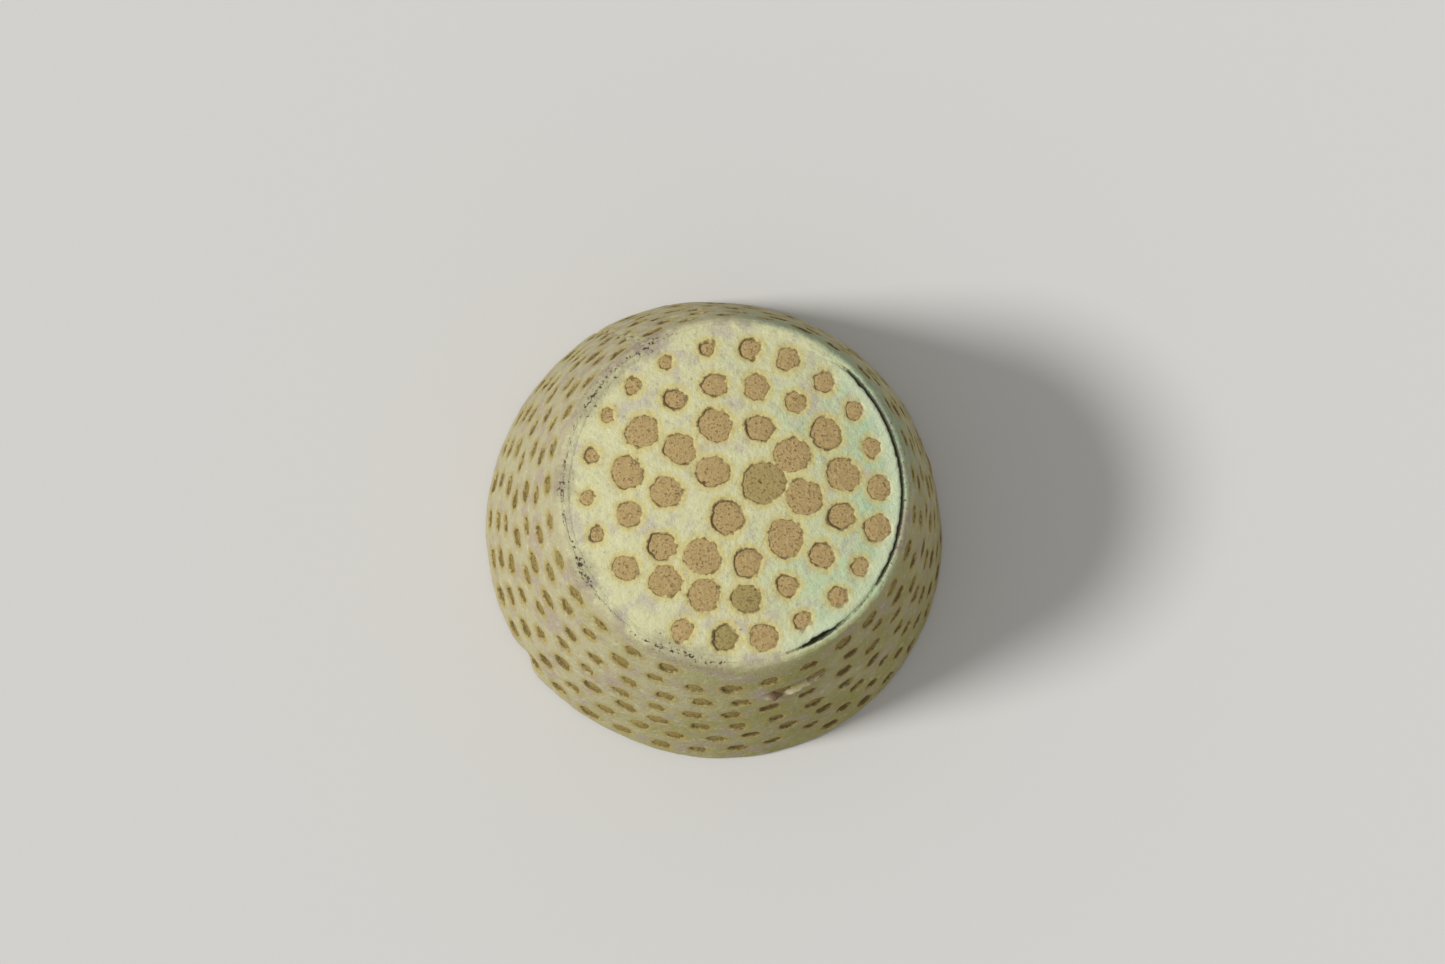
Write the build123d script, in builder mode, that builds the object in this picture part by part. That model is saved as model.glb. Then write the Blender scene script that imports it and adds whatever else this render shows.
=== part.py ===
"""Thimble: a tapered side and a domed crown of copper alloy, brazed together and
covered with hand-punched pits that have soil packed in them.

Millimetres, +Z up. The thimble stands on its open rim: the origin is the centre of
the rim and the finger goes in from below.
"""

from build123d import *
import os
import random
from math import cos, degrees, radians, sin, tan

# ---------------------------------------------------------------- side
mouth_radius = 9.4  # outside, at the open rim
shoulder_radius = 6.95  # outside, where the side meets the crown
side_height = 11.0  # open rim to the top of the side
side_bulge = 0.18  # how far the side swells out from a straight taper
side_thickness = 0.95
side_flats = 60  # narrow flats that the hammer leaves round the outside
rim_bevel = 0.25
shoulder_bevel = 0.12
seam_angle = 121.0  # where the rolled strip's two ends meet, in degrees
seam_gap = 0.2  # braze between the ends

# ---------------------------------------------------------------- crown
crown_thickness = 0.9
crown_rise = 0.6  # dome above the disc's edge
crown_seat = 0.45  # width of the flat ring under the disc's edge
crown_bevel = 0.1
lip_width = 0.28  # the side's lip around the crown
joint_gap = 0.17  # braze between the lip and the disc's edge
joint_sink = 0.12  # the braze stops this far below the lip

# ---------------------------------------------------------------- pits
punch_half_angle = 47.0
crown_punch_facets = 8
side_punch_facets = 6
punch_clearance = 0.05  # how far the cutting shape stands out of the surface
soil_recess = 0.07  # the soil lies this far below the surface
row_pitch = 1.5  # from one turn of the pitted line to the next
step_angle = 60.0  # the line steps to its next turn within this much of each turn
line_start = -110.7  # degrees, where each turn of the line begins
crown_turns = 2.85  # turns of the line on the crown
crown_line_radius = 5.75  # the line's outermost turn on the crown
crown_pit_spacing = 1.63  # along the line, on the outermost turn
crown_spacing_gain = 0.05  # wider by this much for each mm nearer the middle
crown_pit_radius = 0.43
crown_pit_gain = 0.06  # larger by this much for each mm nearer the middle
worn_angle = 140.0  # the crown's edge, and the pits along it, are most worn here
worn_share = 0.3  # how much smaller the pits are there
middle_pits = 3  # in the middle, inside the line's last turn
middle_radius = 1.1
middle_start = 256.0  # degrees
side_line_drop = 1.25  # first turn on the side, down from the shoulder
side_pit_spacing = 1.54
side_pit_radius = 0.36
rim_margin = 0.75  # plain band above the rim
crown_unevenness = 0.22  # share by which a pit's radius varies
side_unevenness = 0.14
hand_wander = 0.1  # how far a pit strays from its place on the line
wander_seed = 118359
unevenness_seed = 119690

# ---------------------------------------------------------------- worked out
seat_height = side_height - crown_thickness
seat_radius = shoulder_radius - lip_width  # wall of the ledge that takes the crown
crown_radius = seat_radius - joint_gap
dome_radius = (crown_radius**2 + crown_rise**2) / (2 * crown_rise)
dome_centre = side_height + crown_rise - dome_radius
punch_slope = tan(radians(punch_half_angle))
rim_point = Vector(mouth_radius, 0)
shoulder_point = Vector(shoulder_radius, side_height)
taper_length = (shoulder_point - rim_point).length
taper_up = (shoulder_point - rim_point).normalized()
taper_out = Vector(taper_up.Y, -taper_up.X)
wall_across = side_thickness / taper_up.Y  # the wall measured level


def side_point(share):
    """Radius and height on the outside of the side, from the rim (0) to the shoulder (1)."""
    swell = side_bulge * 4 * share * (1 - share)
    return rim_point + taper_up * (taper_length * share) + taper_out * swell


def turns_stepped(turns):
    """Rows that the pitted line has moved on after so many turns: it steps late in each."""
    step_share = step_angle / 360
    late = max(0.0, (turns % 1 - 1 + step_share) / step_share)
    return turns // 1 + late * late * (3 - 2 * late)


def surface_place(radius, height, rise, angle):
    """Plane on a turned surface whose section climbs by rise, a direction, at this point."""
    turn = radians(angle)
    return Plane(
        origin=(radius * cos(turn), radius * sin(turn), height),
        x_dir=(rise.X * cos(turn), rise.X * sin(turn), rise.Y),
        z_dir=(rise.Y * cos(turn), rise.Y * sin(turn), -rise.X),
    )


def crown_pit(radius, angle, wear):
    """Plane and radius of a pit on the crown, near this place and made smaller by wear."""
    spread = crown_pit_radius + crown_pit_gain * (crown_line_radius - radius)
    uneven = 1 + sizes.uniform(-crown_unevenness, crown_unevenness)
    strayed = radius + places.uniform(-hand_wander, hand_wander)
    along = places.uniform(-hand_wander, hand_wander)
    out_of_centre = Vector(strayed, (dome_radius**2 - strayed**2) ** 0.5)
    rise = Vector(-out_of_centre.Y, out_of_centre.X).normalized()
    height = dome_centre + out_of_centre.Y
    place = surface_place(strayed, height, rise, angle + degrees(along / radius))
    return place, min(spread * uneven * (1 - wear), crown_radius - crown_bevel - strayed)


def crown_pits():
    """The crown's pits, along the line from the edge inwards and then in the middle."""
    pits = []
    turns = 0.0
    while turns < crown_turns:
        radius = crown_line_radius - row_pitch * turns_stepped(turns)
        angle = line_start + 360 * turns
        wear = worn_share * max(0.0, cos(radians(angle - worn_angle))) if turns < 1 else 0
        pits.append(crown_pit(radius, angle, wear))
        spacing = crown_pit_spacing + crown_spacing_gain * (crown_line_radius - radius)
        turns += degrees(spacing / radius) / 360
    for count in range(middle_pits):
        pits.append(crown_pit(middle_radius, middle_start + 360 * count / middle_pits, 0))
    return pits


def side_pits():
    """Plane and radius of each pit on the side, along the line from the shoulder down."""
    pits = []
    turns = 0.0
    drop = side_line_drop
    while drop < taper_length - rim_margin:
        share = 1 - (drop + places.uniform(-hand_wander, hand_wander)) / taper_length
        here = side_point(share)
        rise = (side_point(share + 0.01) - here).normalized()
        along = places.uniform(-hand_wander, hand_wander)
        angle = line_start - 360 * turns + degrees(along / here.X)
        uneven = 1 + sizes.uniform(-side_unevenness, side_unevenness)
        pits.append((surface_place(here.X, here.Y, rise, angle), side_pit_radius * uneven))
        turns += degrees(side_pit_spacing / here.X) / 360
        drop = side_line_drop + row_pitch * turns_stepped(turns)
    return pits


def punch_points(pits, facets, top):
    """The punch's point in each pit, from the pit's floor to this height over the surface."""
    points = []
    for place, radius in pits:
        with BuildPart() as point:
            with BuildSketch(place.offset(top)) as mouth:
                RegularPolygon(radius + top * punch_slope, facets)
            floor = place.origin - place.z_dir * (radius / punch_slope)
            loft([mouth.sketch, Vertex(*floor)], ruled=True)
        points.append(point.part)
    return points


places = random.Random(wander_seed)
sizes = random.Random(unevenness_seed)
crown_places = crown_pits()
side_places = side_pits()

# ---------------------------------------------------------------- side
seam_plane = Plane.XY.rotated((0, 0, seam_angle))
outside = [(mouth_radius - rim_bevel, 0)]
for share in (rim_bevel / side_height, 0.5, 1 - shoulder_bevel / side_height):
    outside.append((side_point(share).X, side_point(share).Y))
outside.append((shoulder_radius - shoulder_bevel, side_height))

with BuildPart() as ring:
    for radius, height in outside:
        with BuildSketch(seam_plane.offset(height)):
            RegularPolygon(radius, side_flats)
    loft(ruled=True)
    for end in (rim_point, shoulder_point):
        with BuildSketch(seam_plane.offset(end.Y)):
            Circle(end.X - wall_across)
    loft(mode=Mode.SUBTRACT)
    with BuildSketch(Plane.XY.offset(seat_height)):
        Circle(seat_radius)
    extrude(amount=crown_thickness, mode=Mode.SUBTRACT)

side_punches = punch_points(side_places, side_punch_facets, punch_clearance)
seam_size = (mouth_radius + side_bulge, seam_gap, side_height)
seam_align = (Align.MIN, Align.CENTER, Align.MIN)

with BuildPart() as side_wall:
    add(ring.part)
    with Locations(seam_plane):
        Box(*seam_size, align=seam_align, mode=Mode.SUBTRACT)
    add(side_punches, mode=Mode.SUBTRACT)

with BuildPart() as side_seam_braze:
    add(ring.part)
    with Locations(seam_plane):
        Box(*seam_size, align=seam_align, mode=Mode.INTERSECT)
    add(side_punches, mode=Mode.SUBTRACT)

# ---------------------------------------------------------------- crown
with BuildPart() as crown_disc:
    with BuildSketch(Plane.XZ) as disc:
        with BuildLine():
            dome = TangentArc((0, dome_centre + dome_radius), (crown_radius, side_height), tangent=(1, 0))
            edge = Line(dome @ 1, (crown_radius, seat_height))
            seat = Line(edge @ 1, (crown_radius - crown_seat, seat_height))
            Polyline(seat @ 1, (0, seat_height + crown_rise), dome @ 0)
        make_face()
        chamfer(disc.vertices().group_by(Axis.X)[-1].sort_by(Axis.Y)[-1], crown_bevel)
    revolve(axis=Axis.Z)
    add(punch_points(crown_places, crown_punch_facets, punch_clearance), mode=Mode.SUBTRACT)

with BuildPart() as crown_braze:
    with BuildSketch(Plane.XY.offset(seat_height)):
        Circle(seat_radius)
        Circle(crown_radius, mode=Mode.SUBTRACT)
    extrude(amount=crown_thickness - joint_sink)

# ---------------------------------------------------------------- soil in the pits
with BuildPart() as crown_soil:
    add(punch_points(crown_places, crown_punch_facets, -soil_recess))

with BuildPart() as side_soil:
    add(punch_points(side_places, side_punch_facets, -soil_recess))

# ---------------------------------------------------------------- nodes
nodes = {
    "side_wall": side_wall,
    "side_seam_braze": side_seam_braze,
    "crown_disc": crown_disc,
    "crown_braze": crown_braze,
    "crown_soil": crown_soil,
    "side_soil": side_soil,
}
os.makedirs("parts", exist_ok=True)
for name, node in nodes.items():
    node.part.label = name
    export_step(node.part, f"parts/{name}.step")
print(len(crown_places), "pits on the crown,", len(side_places), "on the side")
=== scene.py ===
"""Looks of the sewing thimble: worn, green copper alloy with soil in its pits.

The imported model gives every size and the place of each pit. Metres, +Z up.
"""

import bmesh
import bpy
import math
import random
import numpy as np
from mathutils import Matrix, Vector, noise


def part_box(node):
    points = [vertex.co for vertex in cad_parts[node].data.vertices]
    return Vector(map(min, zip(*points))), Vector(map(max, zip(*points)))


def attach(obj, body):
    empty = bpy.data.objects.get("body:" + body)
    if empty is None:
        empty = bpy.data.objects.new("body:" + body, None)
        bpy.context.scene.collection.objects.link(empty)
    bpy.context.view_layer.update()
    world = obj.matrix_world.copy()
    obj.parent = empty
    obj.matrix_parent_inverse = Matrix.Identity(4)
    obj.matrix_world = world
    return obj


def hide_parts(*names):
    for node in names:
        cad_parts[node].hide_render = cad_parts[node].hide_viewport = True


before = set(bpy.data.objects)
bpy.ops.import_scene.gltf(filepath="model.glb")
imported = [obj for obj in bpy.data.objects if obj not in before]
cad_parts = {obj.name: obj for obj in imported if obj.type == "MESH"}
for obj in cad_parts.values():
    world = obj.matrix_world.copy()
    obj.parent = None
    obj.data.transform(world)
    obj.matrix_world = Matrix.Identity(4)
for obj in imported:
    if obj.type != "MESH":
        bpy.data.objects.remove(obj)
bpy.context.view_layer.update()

MM = 0.001
hand = random.Random(11)

# ---------------------------------------------------------------- sizes from the frame
side_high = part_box("side_wall")[1]
crown_low, crown_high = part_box("crown_disc")
braze_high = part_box("crown_braze")[1]
side_height = side_high.z
mouth_radius = side_high.x
crown_radius = crown_high.x
crown_top = crown_high.z
crown_under = crown_low.z
seat_radius = braze_high.x
lip_width = 0.28 * MM
shoulder_radius = seat_radius + lip_width
side_thickness = 0.95 * MM
wall_across = side_thickness * 1.025  # the wall measured level
taper = (mouth_radius - shoulder_radius) / side_height
side_bulge = 0.18 * MM
soil_recess = 0.07 * MM  # how far the frame's soil lies below the surface
punch_slope = math.tan(math.radians(47))
dish = 0.045 * MM  # how far the surface draws down towards each pit
pit_depth = 0.34 * MM  # down to where the soil covers it
pit_reach = 0.6 * MM  # how far beyond a pit the surface is still moved by it

# ---------------------------------------------------------------- how fine the meshes are
side_steps = 600
side_rows = 118
crown_steps = 560
crown_rings = 88


# ================================================================ pits
def solids_of(node, depth):
    """Corners of each solid in a CAD node, with the one at its point, where depth is least."""
    work = bmesh.new()
    work.from_mesh(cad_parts[node].data)
    bmesh.ops.remove_doubles(work, verts=work.verts, dist=0.001 * MM)
    work.verts.ensure_lookup_table()
    seen = set()
    solids = []
    for start in work.verts:
        if start in seen:
            continue
        seen.add(start)
        group = [start]
        for vert in group:
            for edge in vert.link_edges:
                other = edge.other_vert(vert)
                if other not in seen:
                    seen.add(other)
                    group.append(other)
        corners = [vert.co.copy() for vert in group]
        tip = min(corners, key=depth)
        corners.remove(tip)
        solids.append((corners, tip))
    work.free()
    return solids


class Pit:
    """A punched pit: its place, radius and direction, and the uneven outline of its mouth."""

    def __init__(self, corners, tip):
        top = sum(corners, Vector()) / len(corners)
        self.out = (top - tip).normalized()
        self.place = top + self.out * soil_recess
        below = sum((corner - top).length for corner in corners) / len(corners)
        self.radius = below + soil_recess * punch_slope
        self.waves = [(turns, hand.uniform(0, math.tau)) for turns in (2, 3, 5, 7)]
        self.across = self.out.orthogonal().normalized()
        self.along = self.out.cross(self.across)
        self.olive = hand.random()
        self.sunk = hand.random()

    def outline(self, turn):
        """Radius of the mouth at an angle round the pit."""
        heights = (0.05, 0.03, 0.02, 0.012)
        uneven = sum(h * np.sin(n * turn + a) for h, (n, a) in zip(heights, self.waves))
        return self.radius * (1 + uneven)


crown_pits = [Pit(*solid) for solid in solids_of("crown_soil", lambda co: co.z)]
side_pits = [Pit(*solid) for solid in solids_of("side_soil", lambda co: co.xy.length)]


# ================================================================ meshes
def turned(points, cuts, steps, name):
    """A closed profile of (radius, height), with cuts between its points, turned full circle."""
    work = bmesh.new()
    line = [Vector((radius, 0, height)) for radius, height in points]
    verts = []
    for start, end, count in zip(line, line[1:] + line[:1], cuts):
        for cut in range(count + 1):
            verts.append(work.verts.new(start.lerp(end, cut / (count + 1))))
    for start, end in zip(verts, verts[1:] + verts[:1]):
        if start.co.x > 0 or end.co.x > 0:
            work.edges.new((start, end))
    bmesh.ops.spin(
        work,
        geom=work.verts[:] + work.edges[:],
        cent=(0, 0, 0),
        axis=(0, 0, 1),
        angle=math.tau,
        steps=steps,
        use_merge=True,
    )
    bmesh.ops.remove_doubles(work, verts=work.verts, dist=0.0005 * MM)
    bmesh.ops.dissolve_degenerate(work, edges=work.edges, dist=0.0002 * MM)
    bmesh.ops.recalc_face_normals(work, faces=work.faces)
    return finished(work, name)


def finished(work, name):
    """The object of a finished bmesh, smooth, in the scene and riding on the one body."""
    mesh = bpy.data.meshes.new(name)
    work.to_mesh(mesh)
    work.free()
    mesh.shade_smooth()
    made = bpy.data.objects.new(name, mesh)
    bpy.context.scene.collection.objects.link(made)
    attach(made, "root")
    return made


def places_of(made):
    """Vertex places as an array."""
    flat = np.empty(len(made.data.vertices) * 3, np.float32)
    made.data.vertices.foreach_get("co", flat)
    return flat.reshape(-1, 3).astype(float)


def put_back(made, places):
    made.data.vertices.foreach_set("co", places.astype(np.float32).ravel())
    made.data.update()


def keep(made, **stored):
    """Store values for the materials, each one for all the vertices or an array of them."""
    for name, values in stored.items():
        layer = made.data.attributes.new(name, "FLOAT", "POINT")
        values = np.broadcast_to(values, len(made.data.vertices)).astype(np.float32)
        layer.data.foreach_set("value", values)


def roughened(places, size, layers=3, seed=0.0):
    """Fractal noise from about -1 to 1 at each place, of this size in mm."""
    shift = Vector((seed, seed * 1.7, -seed))
    scale = 1 / (size * MM)
    return np.array(
        [noise.fractal(Vector(place) * scale + shift, 1.0, 2.0, layers) for place in places]
    )


def smooth(low, high, value):
    share = np.clip((value - low) / (high - low), 0, 1)
    return share * share * (3 - 2 * share)


def angle_from(places, centre):
    """Degrees from an angle, -180 to 180, at each place."""
    turn = np.degrees(np.arctan2(places[:, 1], places[:, 0]))
    return (turn - centre + 180) % 360 - 180


def bump_at(places, centre, width):
    """1 at an angle, falling smoothly to 0 at some widths from it."""
    return np.exp(-((angle_from(places, centre) / width) ** 2))


def punch(places, uneven, pits, widen, lip_height):
    """Press the pits into the surface. Returns each place's distance from the nearest edge."""
    edge = np.full(len(places), 1.0)
    shift = np.zeros_like(places)
    for pit in pits:
        reach = pit.radius * 1.3 + pit_reach
        away = places - np.array(pit.place)
        near = np.nonzero((away**2).sum(1) < reach**2)[0]
        across = away[near] @ np.array(pit.across)
        along = away[near] @ np.array(pit.along)
        height = away[near] @ np.array(pit.out)
        kept = np.abs(height) < pit_reach
        near, across, along = near[kept], across[kept], along[kept]
        turn = np.arctan2(along, across)
        outside = np.hypot(across, along) - pit.outline(turn) * widen
        outside = outside + uneven[near] * 0.06 * MM
        depth = pit_depth * smooth(0, 1, -outside / (0.3 * MM))
        depth += dish * np.exp(-np.maximum(outside, 0) / (0.22 * MM))
        raised = lip_height * np.exp(-((outside / (0.16 * MM)) ** 2)) * (outside > -0.05 * MM)
        shift[near] += np.outer(raised - depth, np.array(pit.out))
        edge[near] = np.minimum(edge[near], outside / MM)
    places += shift
    return edge


# ================================================================ wear and damage
# patches of grime round the crown's corner: angle, width in degrees, share
grime_patches = (
    (143, 14, 1.0),
    (120, 8, 0.8),
    (178, 9, 0.8),
    (208, 9, 0.9),
    (247, 8, 1.0),
    (262, 10, 0.7),
)
open_joint = (-34, 50)  # the dark line round the right of the crown, from and to, in degrees
hairline = (-74, -30)  # and where it goes on as a thin line
crack_angle = -59
flake_angle = -69.5
flake_drop = 3.2 * MM  # of the flake and the rust spot, below the top of the side
rust_angle = -75.5
nick_angle = 214
seam_angle = 121
seam_turn = math.radians(seam_angle)
# where the mouth stands out of round: angle, width in degrees, mm
out_of_round = ((12, 17, -0.13), (110, 22, 0.12), (218, 10, 0.1), (247, 9, -0.09), (305, 26, 0.08))


def grime_of(places):
    """How dark with grime the corner of the crown is at each place."""
    amount = sum(share * bump_at(places, centre, width) for centre, width, share in grime_patches)
    return np.clip(amount + 0.2, 0, 1)


def corner_line_of(places):
    """A thin wandering line of grime round the left of the crown's corner."""
    radius = np.hypot(places[:, 0], places[:, 1])
    wander = roughened(places * np.array([1, 1, 0]), 1.3, 2, 13.0) * 0.16 * MM
    line = np.exp(-(((radius - seat_radius - 0.06 * MM - wander) / (0.1 * MM)) ** 2))
    return line * (1 - smooth(76, 92, np.abs(angle_from(places, 188))))


def dust_of(places):
    """The dark grainy band outside the open joint, on the right of the corner: grains of dirt, and
    painted shadow of the crown's edge on the side away from the key light.
    """
    beyond = np.hypot(places[:, 0], places[:, 1]) - seat_radius
    band = smooth(-0.05 * MM, 0.02 * MM, beyond) * smooth(0.5 * MM, 0.1 * MM, beyond)
    return band * (1 - smooth(25, 55, np.abs(angle_from(places, 0))))


def within(places, start, end, fade):
    """1 between two angles, falling smoothly to 0 outside them."""
    half = (end - start) / 2
    return 1 - smooth(half - fade, half + fade, np.abs(angle_from(places, start + half)))


def openness_of(places):
    """1 where the joint round the crown lies open, 0 where it is filled flush."""
    thin = 0.55 * within(places, *hairline, 4) + 0.6 * bump_at(places, crack_angle, 6)
    return np.clip(np.maximum(within(places, *open_joint, 7), thin), 0, 1)


def swell_of(places):
    """How far the side stands out of a straight taper, in metres."""
    share = np.clip(places[:, 2] / side_height, 0, 1)
    round_error = sum(size * bump_at(places, centre, width) for centre, width, size in out_of_round)
    return side_bulge * 4 * share * (1 - share) + round_error * MM * (1 - share)


def outwards(places):
    """Unit vectors away from the axis."""
    flat = places * np.array([1, 1, 0])
    return flat / np.maximum(np.linalg.norm(flat, axis=1), 1e-9)[:, None]


def on_skin(places):
    """Whether each place is nearer to the side's outside than to its inside."""
    radius = np.hypot(places[:, 0], places[:, 1])
    return mouth_radius - taper * places[:, 2] - radius < side_thickness / 2


# ================================================================ side wall
def make_side():
    """The tapered side with its ledge and lip, pitted, worn and a little out of round."""
    points = (
        (mouth_radius - 0.2 * MM, 0),
        (mouth_radius, 0.22 * MM),
        (shoulder_radius + 0.06 * MM, side_height - 0.34 * MM),
        (shoulder_radius - 0.02 * MM, side_height - 0.1 * MM),
        (shoulder_radius - 0.14 * MM, side_height - 0.01 * MM),
        (seat_radius, side_height),
        (seat_radius, crown_under),
        (shoulder_radius + 0.2 * MM - wall_across, crown_under),
        (mouth_radius - wall_across, 0.12 * MM),
        (mouth_radius - wall_across + 0.1 * MM, 0),
    )
    cuts = (3, side_rows, 3, 2, 2, 4, 3, 14, 1, 3)
    made = turned(points, cuts, side_steps, "worn_side")
    places = places_of(made)
    radius = np.hypot(places[:, 0], places[:, 1])
    skin = on_skin(places)
    lip = (radius > seat_radius - 0.02 * MM) & (places[:, 2] > side_height - 0.5 * MM)
    outer = skin | lip
    out = outwards(places)
    places += out * (swell_of(places) * np.where(skin, 1, 0.6))[:, None]
    fine = roughened(places, 0.28, 3)
    broad = roughened(places, 2.2, 2, 5.0)
    uneven = 0.012 * fine + 0.05 * broad * smooth(0, 1.5 * MM, side_height - places[:, 2])
    uneven = np.where(outer, uneven, 0.4 * uneven)
    # the flake that has lifted, low on the right
    turn = angle_from(places, flake_angle)
    ridge_height = side_height - flake_drop + turn * 0.02 * MM
    above = places[:, 2] - ridge_height
    length = smooth(10.5, 7, np.abs(turn))
    ridge = np.exp(-((above / (0.16 * MM)) ** 2)) * 0.17
    hollow = np.exp(-(((above - 0.34 * MM) / (0.16 * MM)) ** 2)) * 0.13
    flake = ridge - hollow
    uneven += np.where(outer, flake * length * (0.8 + 0.5 * fine), 0)
    # the groove that shows the braze of the seam
    from_seam = places[:, 1] * math.cos(seam_turn) - places[:, 0] * math.sin(seam_turn)
    beside = places[:, 0] * math.cos(seam_turn) + places[:, 1] * math.sin(seam_turn) > 0
    groove = 0.04 * smooth(0.13 * MM, 0.06 * MM, np.abs(from_seam))
    uneven -= np.where(outer & beside, groove, 0)
    # the nick in the rim
    nick = bump_at(places, nick_angle, 3.2) * smooth(1.3 * MM, 0.1 * MM, places[:, 2])
    uneven -= np.where(outer, 0.22 * nick, 0)
    places += out * (uneven * MM)[:, None]
    edge = punch(places, np.where(outer, fine, 0), side_pits, 1.05, 0.025 * MM)
    put_back(made, places)
    near_top = smooth(1.5 * MM, 0.05 * MM, side_height - places[:, 2])
    beyond = np.hypot(places[:, 0], places[:, 1]) - seat_radius
    rust = np.exp(-(((places[:, 2] - side_height + flake_drop) / (0.4 * MM)) ** 2))
    keep(
        made,
        edge=np.where(outer, edge, 1.0),
        grime=grime_of(places) * near_top,
        corner_line=corner_line_of(places),
        dust=dust_of(places),
        open_joint=openness_of(places) * smooth(0.09 * MM, 0.01 * MM, beyond) * lip,
        inside=np.where(outer, 0.0, 1.0),
        # a pale line along the flake's crest, a painted highlight
        flake=length * np.exp(-((above / (0.11 * MM)) ** 2)),
        rust=rust * bump_at(places, rust_angle, 3.2),
    )
    return made


# ================================================================ crown
def make_crown():
    """The domed disc that closes the top, pitted and worn."""
    rise = crown_top - side_height
    points = (
        (0, side_height),
        (crown_radius - 0.06 * MM, side_height),
        (crown_radius, side_height - 0.07 * MM),
        (crown_radius, crown_under),
        (crown_radius - 0.45 * MM, crown_under),
        (0, crown_under + rise),
    )
    cuts = (crown_rings, 1, 4, 2, 16, 0)
    made = turned(points, cuts, crown_steps, "worn_crown")
    places = places_of(made)
    radius = np.hypot(places[:, 0], places[:, 1])
    outer = places[:, 2] > side_height - 0.2 * MM
    places[:, 2] += np.where(outer, rise * (1 - (radius / crown_radius) ** 2), 0)
    fine = roughened(places, 0.25, 3, 2.0)
    broad = roughened(places, 2.0, 2, 9.0)
    inset = crown_radius - radius
    worn_corner = smooth(0.6 * MM, 0, inset) * (0.03 + 0.03 * bump_at(places, 140, 50))
    lift = 0.014 * fine + 0.05 * broad * smooth(0, 1.2 * MM, inset) - worn_corner
    places[:, 2] += np.where(outer, lift, 0) * MM
    pulled = 0.1 * bump_at(places, crack_angle, 6) - 0.1 + 0.05 * fine
    pulled = np.where(outer, pulled, 0) * smooth(0.5 * MM, 0, inset) * MM
    places -= outwards(places) * pulled[:, None]
    edge = punch(places, np.where(outer, fine, 0), crown_pits, 1.1, 0.012 * MM)
    put_back(made, places)
    keep(
        made,
        edge=np.where(outer, edge, 1.0),
        grime=grime_of(places) * smooth(0.9 * MM, 0.05 * MM, inset),
        corner_line=corner_line_of(places),
        dust=dust_of(places),
        open_joint=openness_of(places) * smooth(0.05 * MM, 0, inset),
        inside=np.where(outer, 0.0, 1.0),
        # a pale band inside the crown's edge where the joint lies open: painted highlight of a lip
        # facing the key light
        lip=openness_of(places) * smooth(0.75 * MM, 0.2 * MM, inset),
    )
    return made


def make_crown_joint():
    """The ring of braze round the crown: flush and grown over, or open as a dark line."""
    overlap = 0.16 * MM
    points = (
        (crown_radius - 0.02 * MM, crown_under),
        (seat_radius + 0.02 * MM, crown_under),
        (seat_radius + 0.02 * MM, side_height - 0.1 * MM),
        (seat_radius + overlap, side_height - 0.03 * MM),
        (seat_radius, side_height + 0.02 * MM),
        (crown_radius, side_height + 0.025 * MM),
        (crown_radius - overlap, side_height - 0.02 * MM),
        (crown_radius - 0.02 * MM, side_height - 0.1 * MM),
    )
    made = turned(points, (0, 0, 0, 2, 3, 2, 0, 0), crown_steps, "crown_joint")
    places = places_of(made)
    top = places[:, 2] > side_height - 0.15 * MM
    fine = roughened(places, 0.2, 3, 4.0)
    opened = openness_of(places)
    sink = 0.02 + 0.16 * opened + 0.25 * bump_at(places, crack_angle, 6)
    places[:, 2] -= np.where(top, sink + 0.025 * fine, 0) * MM
    put_back(made, places)
    keep(
        made,
        edge=1.0,
        grime=grime_of(places),
        corner_line=corner_line_of(places),
        dust=dust_of(places),
        open_joint=opened,
        inside=0.0,
    )
    return made


# ================================================================ seam in the side
def make_seam():
    """The braze that fills the butt seam: a strip through the wall, worn to the side's shape."""
    half_width = 0.12 * MM
    rows = 90
    work = bmesh.new()
    corners = (
        (mouth_radius - wall_across + 0.02 * MM, 0.02 * MM),
        (mouth_radius - 0.04 * MM, 0.02 * MM),
        (shoulder_radius - 0.03 * MM, side_height - 0.06 * MM),
        (shoulder_radius + 0.17 * MM - wall_across, side_height - 0.06 * MM),
    )
    verts = [work.verts.new((radius, -half_width, height)) for radius, height in corners]
    face = work.faces.new(verts)
    grown = bmesh.ops.extrude_face_region(work, geom=[face])
    moved = [item for item in grown["geom"] if isinstance(item, bmesh.types.BMVert)]
    bmesh.ops.translate(work, verts=moved, vec=(0, 2 * half_width, 0))
    upright = [edge for edge in work.edges if edge.calc_length() > side_height * 0.8]
    bmesh.ops.subdivide_edges(work, edges=upright, cuts=rows, use_grid_fill=True)
    to_seam = Matrix.Rotation(seam_turn, 3, "Z")
    bmesh.ops.rotate(work, verts=work.verts, cent=(0, 0, 0), matrix=to_seam)
    bmesh.ops.recalc_face_normals(work, faces=work.faces)
    made = finished(work, "seam_braze")
    places = places_of(made)
    skin = on_skin(places)
    uneven = 0.02 * roughened(places, 0.3, 3, 6.0) * MM - 0.02 * MM
    places += outwards(places) * np.where(skin, swell_of(places) + uneven, 0)[:, None]
    put_back(made, places)
    inside = np.where(skin, 0.0, 1.0)
    keep(made, edge=1.0, grime=0.4, corner_line=0.4, dust=0.0, open_joint=0.12, inside=inside)
    return made


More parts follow.
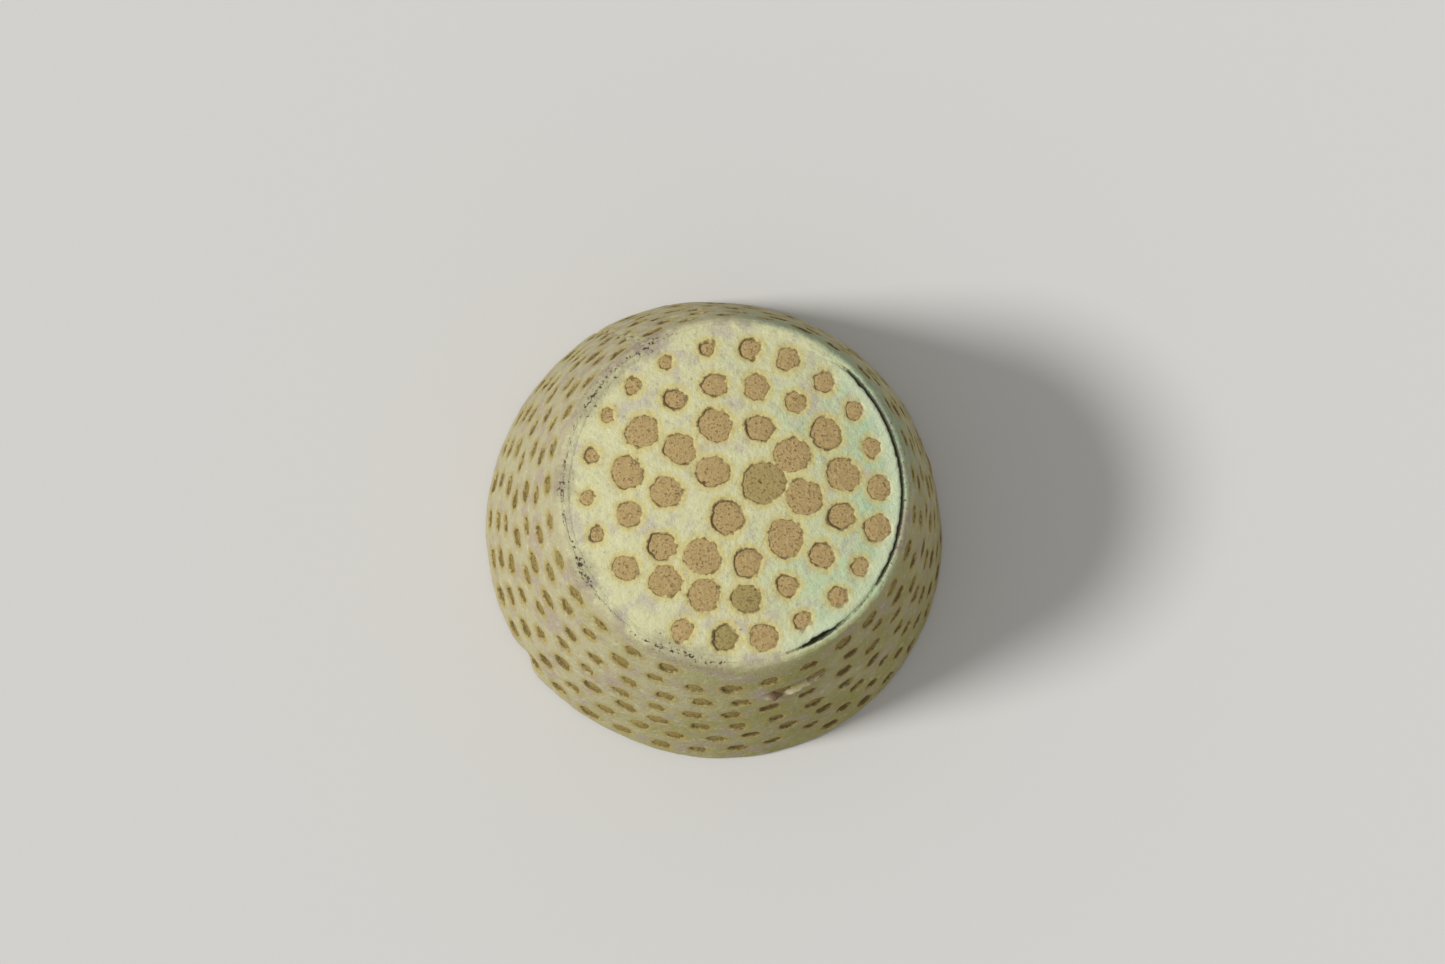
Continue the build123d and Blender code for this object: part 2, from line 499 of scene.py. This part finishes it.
# ================================================================ soil
def make_soil(name, pits, divisions, least, deepest):
    """A crumbly lens of soil in each pit, its flattened top this far below the surface."""
    thick = 0.1 * MM
    work = bmesh.new()
    olives = []
    for pit in pits:
        sunk = (least + deepest * pit.sunk**3) * MM
        frame_of_pit = Matrix((pit.across, pit.along, pit.out)).transposed().to_4x4()
        frame_of_pit.translation = pit.place - pit.out * (sunk + thick)
        scale = Matrix.Diagonal((pit.radius * 1.2, pit.radius * 1.2, thick, 1))
        ball = bmesh.ops.create_icosphere(
            work, subdivisions=divisions, radius=1, matrix=frame_of_pit @ scale
        )
        for vert in ball["verts"]:
            flat = (vert.co - frame_of_pit.translation).dot(pit.out) / thick
            crumb = noise.fractal(vert.co / (0.16 * MM), 1.0, 2.0, 3) * 0.022 * MM
            fuller = (abs(flat) ** 0.5 - abs(flat)) * thick * 0.8 * (1 if flat > 0 else -1)
            vert.co += pit.out * (crumb + fuller)
            olives.append(pit.olive)
    made = finished(work, name)
    keep(made, olive=olives)
    return made


# ================================================================ materials
def colour(red, green, blue):
    """A linear colour from the usual 0 to 255 values."""
    return tuple(((c / 255 + 0.055) / 1.055) ** 2.4 for c in (red, green, blue)) + (1.0,)


class Value:
    """A value in a material, with arithmetic that adds Math nodes."""

    def __init__(self, finish, socket):
        self.finish = finish
        self.socket = socket

    def maths(self, operation, first, second):
        return self.finish.node("ShaderNodeMath", {"operation": operation}, {0: first, 1: second})

    def __add__(self, other):
        return self.maths("ADD", self, other)

    def __radd__(self, other):
        return self.maths("ADD", other, self)

    def __sub__(self, other):
        return self.maths("SUBTRACT", self, other)

    def __rsub__(self, other):
        return self.maths("SUBTRACT", other, self)

    def __mul__(self, other):
        return self.maths("MULTIPLY", self, other)

    def __rmul__(self, other):
        return self.maths("MULTIPLY", other, self)


class Finish:
    """A procedural material, with one method that adds any node."""

    def __init__(self, name):
        self.material = bpy.data.materials.new(name)
        self.material.use_nodes = True
        self.tree = self.material.node_tree
        self.surface = self.tree.nodes["Principled BSDF"]
        self.where = self.node("ShaderNodeTexCoord", {}, {}, "Object")

    def node(self, kind, settings, values, out=0):
        made = self.tree.nodes.new(kind)
        for name, setting in settings.items():
            setattr(made, name, setting)
        for name, value in values.items():
            self.feed(made.inputs[name], value)
        return Value(self, made.outputs[out])

    def feed(self, socket, value):
        if isinstance(value, Value):
            self.tree.links.new(value.socket, socket)
        else:
            socket.default_value = value

    def grain(self, size, detail=3.0, roughness=0.55, shift=0.0):
        """Noise from 0 to 1 of this size in mm."""
        shifts = (shift, shift, shift)
        moved = self.node("ShaderNodeVectorMath", {"operation": "ADD"}, {0: self.where, 1: shifts})
        values = {"Vector": moved, "Scale": 1 / (size * MM), "Detail": detail, "Roughness": roughness}
        return self.node("ShaderNodeTexNoise", {}, values, "Fac")

    def step(self, value, low, high):
        """0 below low, 1 above high, smooth between."""
        settings = {"interpolation_type": "SMOOTHSTEP"}
        if low > high:
            return 1 - self.step(value, high, low)
        return self.node("ShaderNodeMapRange", settings, {0: value, 1: low, 2: high})

    def mixed(self, share, first, second):
        """From the first colour to the second as share goes from 0 to 1."""
        settings = {"data_type": "RGBA", "clamp_factor": True}
        return self.node("ShaderNodeMix", settings, {0: share, 6: first, 7: second}, 2)

    def stored(self, name):
        """A value kept on the vertices."""
        return self.node("ShaderNodeAttribute", {"attribute_name": name}, {}, "Fac")

    def larger(self, first, second):
        return self.node("ShaderNodeMath", {"operation": "MAXIMUM"}, {0: first, 1: second})

    def axis(self, name):
        """X, Y or Z of the place, in mm."""
        return self.node("ShaderNodeSeparateXYZ", {}, {0: self.where}, name) * (1 / MM)

    def surfaced(self, base, roughness, height, depth):
        """Connect the colour, roughness and bump height (depth in mm)."""
        values = {"Strength": 1.0, "Distance": depth * MM, "Height": height}
        self.feed(self.surface.inputs["Base Color"], base)
        self.feed(self.surface.inputs["Roughness"], roughness)
        self.feed(self.surface.inputs["Normal"], self.node("ShaderNodeBump", {}, values))
        self.surface.inputs["Specular IOR Level"].default_value = 0.25
        return self.material


def speckled(finish, base, amount, tint, size, shift):
    """Fine dark specks over a colour, thicker where amount is higher."""
    specks = finish.grain(size, 2.0, 0.6, shift)
    return finish.mixed(finish.step(specks + amount, 0.98, 1.14), base, tint)


def patina():
    """Corroded copper alloy: pale bloom, stained rings round the pits, grime, speckles, painted
    shadow and highlights.
    """
    finish = Finish("patina")
    east = finish.axis("X")
    north = finish.axis("Y")
    level = {0: finish.where, 1: (1, 1, 0)}
    flat = finish.node("ShaderNodeVectorMath", {"operation": "MULTIPLY"}, level)
    length = finish.node("ShaderNodeVectorMath", {"operation": "LENGTH"}, {0: flat}, "Value")
    radius = length * (1 / MM)
    cloud = finish.grain(3.2, 3.0, 0.55, 3.0)
    veil = finish.grain(1.1, 4.0, 0.6, 7.0)
    mottle = finish.grain(0.42, 4.0, 0.65, 9.0)
    fine = finish.grain(0.15, 4.0, 0.75, 1.0)
    # the crown, from cream to mint
    greener = finish.step(east * 0.13 + cloud * 1.5, 0.75, 1.75)
    top = finish.mixed(greener, colour(210, 207, 162), colour(182, 206, 166))
    top = finish.mixed(finish.step(veil, 0.5, 0.66) * 0.8, top, colour(190, 180, 162))
    # the side, from pale grey to olive, grey-green in the upper right
    darker = finish.step(east * 0.045 - north * 0.075 + cloud * 1.6, 0.8, 1.9)
    side = finish.mixed(darker, colour(182, 174, 136), colour(154, 149, 80))
    side = finish.mixed(finish.step(veil, 0.48, 0.64) * 0.8, side, colour(170, 154, 136))
    upper_right = finish.step(east * 0.7 + north * 0.7, 4.2, 6.5)
    teal = upper_right * finish.step(radius + cloud * 1.2, 8.9, 7.6)
    side = finish.mixed(teal * 0.7, side, colour(142, 164, 134))
    is_top = finish.step(radius + (veil - 0.5) * 0.9, 7.0, 6.55)
    base = finish.mixed(is_top, side, top)
    # yellow rings, and the walls of the pits
    edge = finish.stored("edge") + (finish.grain(0.3, 3.0, 0.6, 4.0) - 0.5) * 0.42
    halo = finish.mixed(is_top, colour(170, 154, 88), colour(206, 192, 124))
    base = finish.mixed(finish.step(edge, 0.32, 0.04) * 0.85, base, halo)
    base = finish.mixed(finish.step(edge, 0.04, -0.04) * 0.7, base, colour(140, 117, 70))
    walls = finish.step(edge + (fine - 0.5) * 0.3, 0.0, -0.06)
    base = finish.mixed(walls * 0.6, base, colour(86, 68, 40))
    # mottling and grain
    base = finish.mixed(finish.step(mottle, 0.56, 0.72) * 0.3, base, colour(150, 140, 112))
    base = finish.mixed(finish.step(mottle, 0.44, 0.3) * 0.3, base, colour(222, 222, 180))
    base = finish.mixed(finish.step(fine, 0.56, 0.72) * 0.42, base, colour(120, 108, 80))
    base = finish.mixed(finish.step(fine, 0.44, 0.28) * 0.4, base, colour(236, 236, 202))
    # grime, specks, painted shadow beyond the crown's right edge, and the open joint
    grime = finish.stored("grime")
    line = finish.stored("corner_line")
    dust = finish.stored("dust")
    smear = finish.step(grime + (mottle - 0.5) * 1.2, 0.45, 1.0)
    base = finish.mixed(smear * 0.35, base, colour(132, 116, 98))
    # dark specks over the grime and the corner line, and over the band beyond the crown's right edge,
    # where they are dirt and also painted shadow
    dirt_and_shadow = finish.larger(line * 0.44, grime * 0.42) + line * grime * 0.12 + dust * 0.34
    base = speckled(finish, base, dirt_and_shadow, colour(84, 66, 54), 0.13, 12.0)
    base = speckled(finish, base, veil * 0.52, colour(116, 96, 84), 0.1, 15.0)
    # painted highlight: the pale band on the crown's lip over the open joint
    base = finish.mixed(finish.stored("lip") * 0.7, base, colour(214, 224, 188))
    # painted highlight: the pale line on the flake's raised crest
    base = finish.mixed(finish.stored("flake") * 0.8, base, colour(206, 196, 170))
    rust = finish.step(finish.stored("rust") + (mottle - 0.5), 0.3, 0.9)
    base = finish.mixed(rust * 0.8, base, colour(112, 78, 62))
    dark = finish.step(finish.stored("open_joint") + (fine - 0.5) * 1.1, 0.35, 0.8)
    base = finish.mixed(dark * 0.85, base, colour(62, 54, 38))
    inside = finish.mixed(veil, colour(120, 112, 70), colour(92, 104, 76))
    base = finish.mixed(finish.stored("inside"), base, inside)
    height = fine * 0.45 + mottle * 0.55
    return finish.surfaced(base, 0.9 - fine * 0.12, height, 0.11)


def soil_finish(name, tan, pale, dark):
    """Sandy soil: grains of tan, pale and dark, olive in some pits, with a few red specks."""
    finish = Finish(name)
    coarse = finish.grain(0.22, 4.0, 0.7, 21.0)
    fine = finish.grain(0.11, 3.0, 0.75, 23.0)
    base = finish.mixed(finish.step(coarse, 0.35, 0.7), tan, pale)
    olive = finish.step(finish.stored("olive"), 0.9, 0.97)
    base = finish.mixed(olive * 0.6, base, colour(150, 142, 84))
    base = finish.mixed(finish.step(fine + coarse * 0.4, 0.71, 0.86) * 0.85, base, dark)
    red = finish.step(finish.grain(0.45, 1.0, 0.5, 31.0), 0.76, 0.8)
    base = finish.mixed(red * 0.8, base, colour(92, 44, 34))
    return finish.surfaced(base, 0.95, fine * 0.5 + coarse * 0.5, 0.09)


# ================================================================ the pieces
side = make_side()
crown = make_crown()
joint = make_crown_joint()
seam = make_seam()
crown_soil = make_soil("crown_pit_soil", crown_pits, 4, 0.035, 0.09)
side_soil = make_soil("side_pit_soil", side_pits, 2, 0.07, 0.07)

metal = patina()
crown_soil_finish = soil_finish(
    "crown_soil", colour(178, 152, 102), colour(194, 168, 118), colour(118, 94, 56)
)
side_soil_finish = soil_finish(
    "side_soil", colour(144, 126, 70), colour(164, 142, 84), colour(84, 70, 36)
)

for made, node, slot, material in (
    (side, "side_wall", "side_alloy", metal),
    (crown, "crown_disc", "crown_alloy", metal),
    (joint, "crown_braze", "braze", metal),
    (seam, "side_seam_braze", "braze", metal),
    (crown_soil, "crown_soil", "soil", crown_soil_finish),
    (side_soil, "side_soil", "soil", side_soil_finish),
):
    made.data.materials.append(material)
    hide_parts(node)


# ================================================================ floor, light and camera
def plain(name, shade):
    finish = Finish(name)
    finish.surface.inputs["Base Color"].default_value = shade
    finish.surface.inputs["Roughness"].default_value = 0.9
    finish.surface.inputs["Specular IOR Level"].default_value = 0.1
    return finish.material


work = bmesh.new()
bmesh.ops.create_grid(work, x_segments=1, y_segments=1, size=0.6)
floor_mesh = bpy.data.meshes.new("floor")
work.to_mesh(floor_mesh)
work.free()
floor = bpy.data.objects.new("floor", floor_mesh)
floor.location.z = -0.01 * MM
floor.data.materials.append(plain("floor", colour(214, 212, 208)))
bpy.context.scene.collection.objects.link(floor)

key = bpy.data.lights.new("key", "SUN")
key.energy = 2.5
key.angle = math.radians(14)
key_light = bpy.data.objects.new("key", key)
light_turn = math.radians(8)  # from -X towards -Y
light_rise = math.radians(43)
light_from = Vector((-math.cos(light_turn), -math.sin(light_turn), math.tan(light_rise)))
key_light.rotation_euler = light_from.to_track_quat("Z", "Y").to_euler()
bpy.context.scene.collection.objects.link(key_light)

world = bpy.data.worlds.new("studio")
world.use_nodes = True
world.node_tree.nodes["Background"].inputs["Color"].default_value = (1, 1, 1, 1)
world.node_tree.nodes["Background"].inputs["Strength"].default_value = 0.42
bpy.context.scene.world = world

camera_distance = 0.25
camera_tilt = math.radians(9)
camera_side = Vector((-0.43, -0.90, 0)).normalized()
camera_aim = Vector((0.31 * MM, 1.99 * MM, 0))
towards = camera_side * math.sin(camera_tilt) + Vector((0, 0, math.cos(camera_tilt)))
camera = bpy.data.objects.new("camera", bpy.data.cameras.new("camera"))
camera.data.lens = 152
camera.data.sensor_width = 36
right = Vector((0, 1, 0)).cross(towards).normalized()
turned_to = Matrix((right, towards.cross(right), towards)).transposed().to_4x4()
turned_to.translation = camera_aim + towards * camera_distance
camera.matrix_world = turned_to
bpy.context.scene.collection.objects.link(camera)
bpy.context.scene.camera = camera
bpy.context.scene.view_settings.view_transform = "Standard"
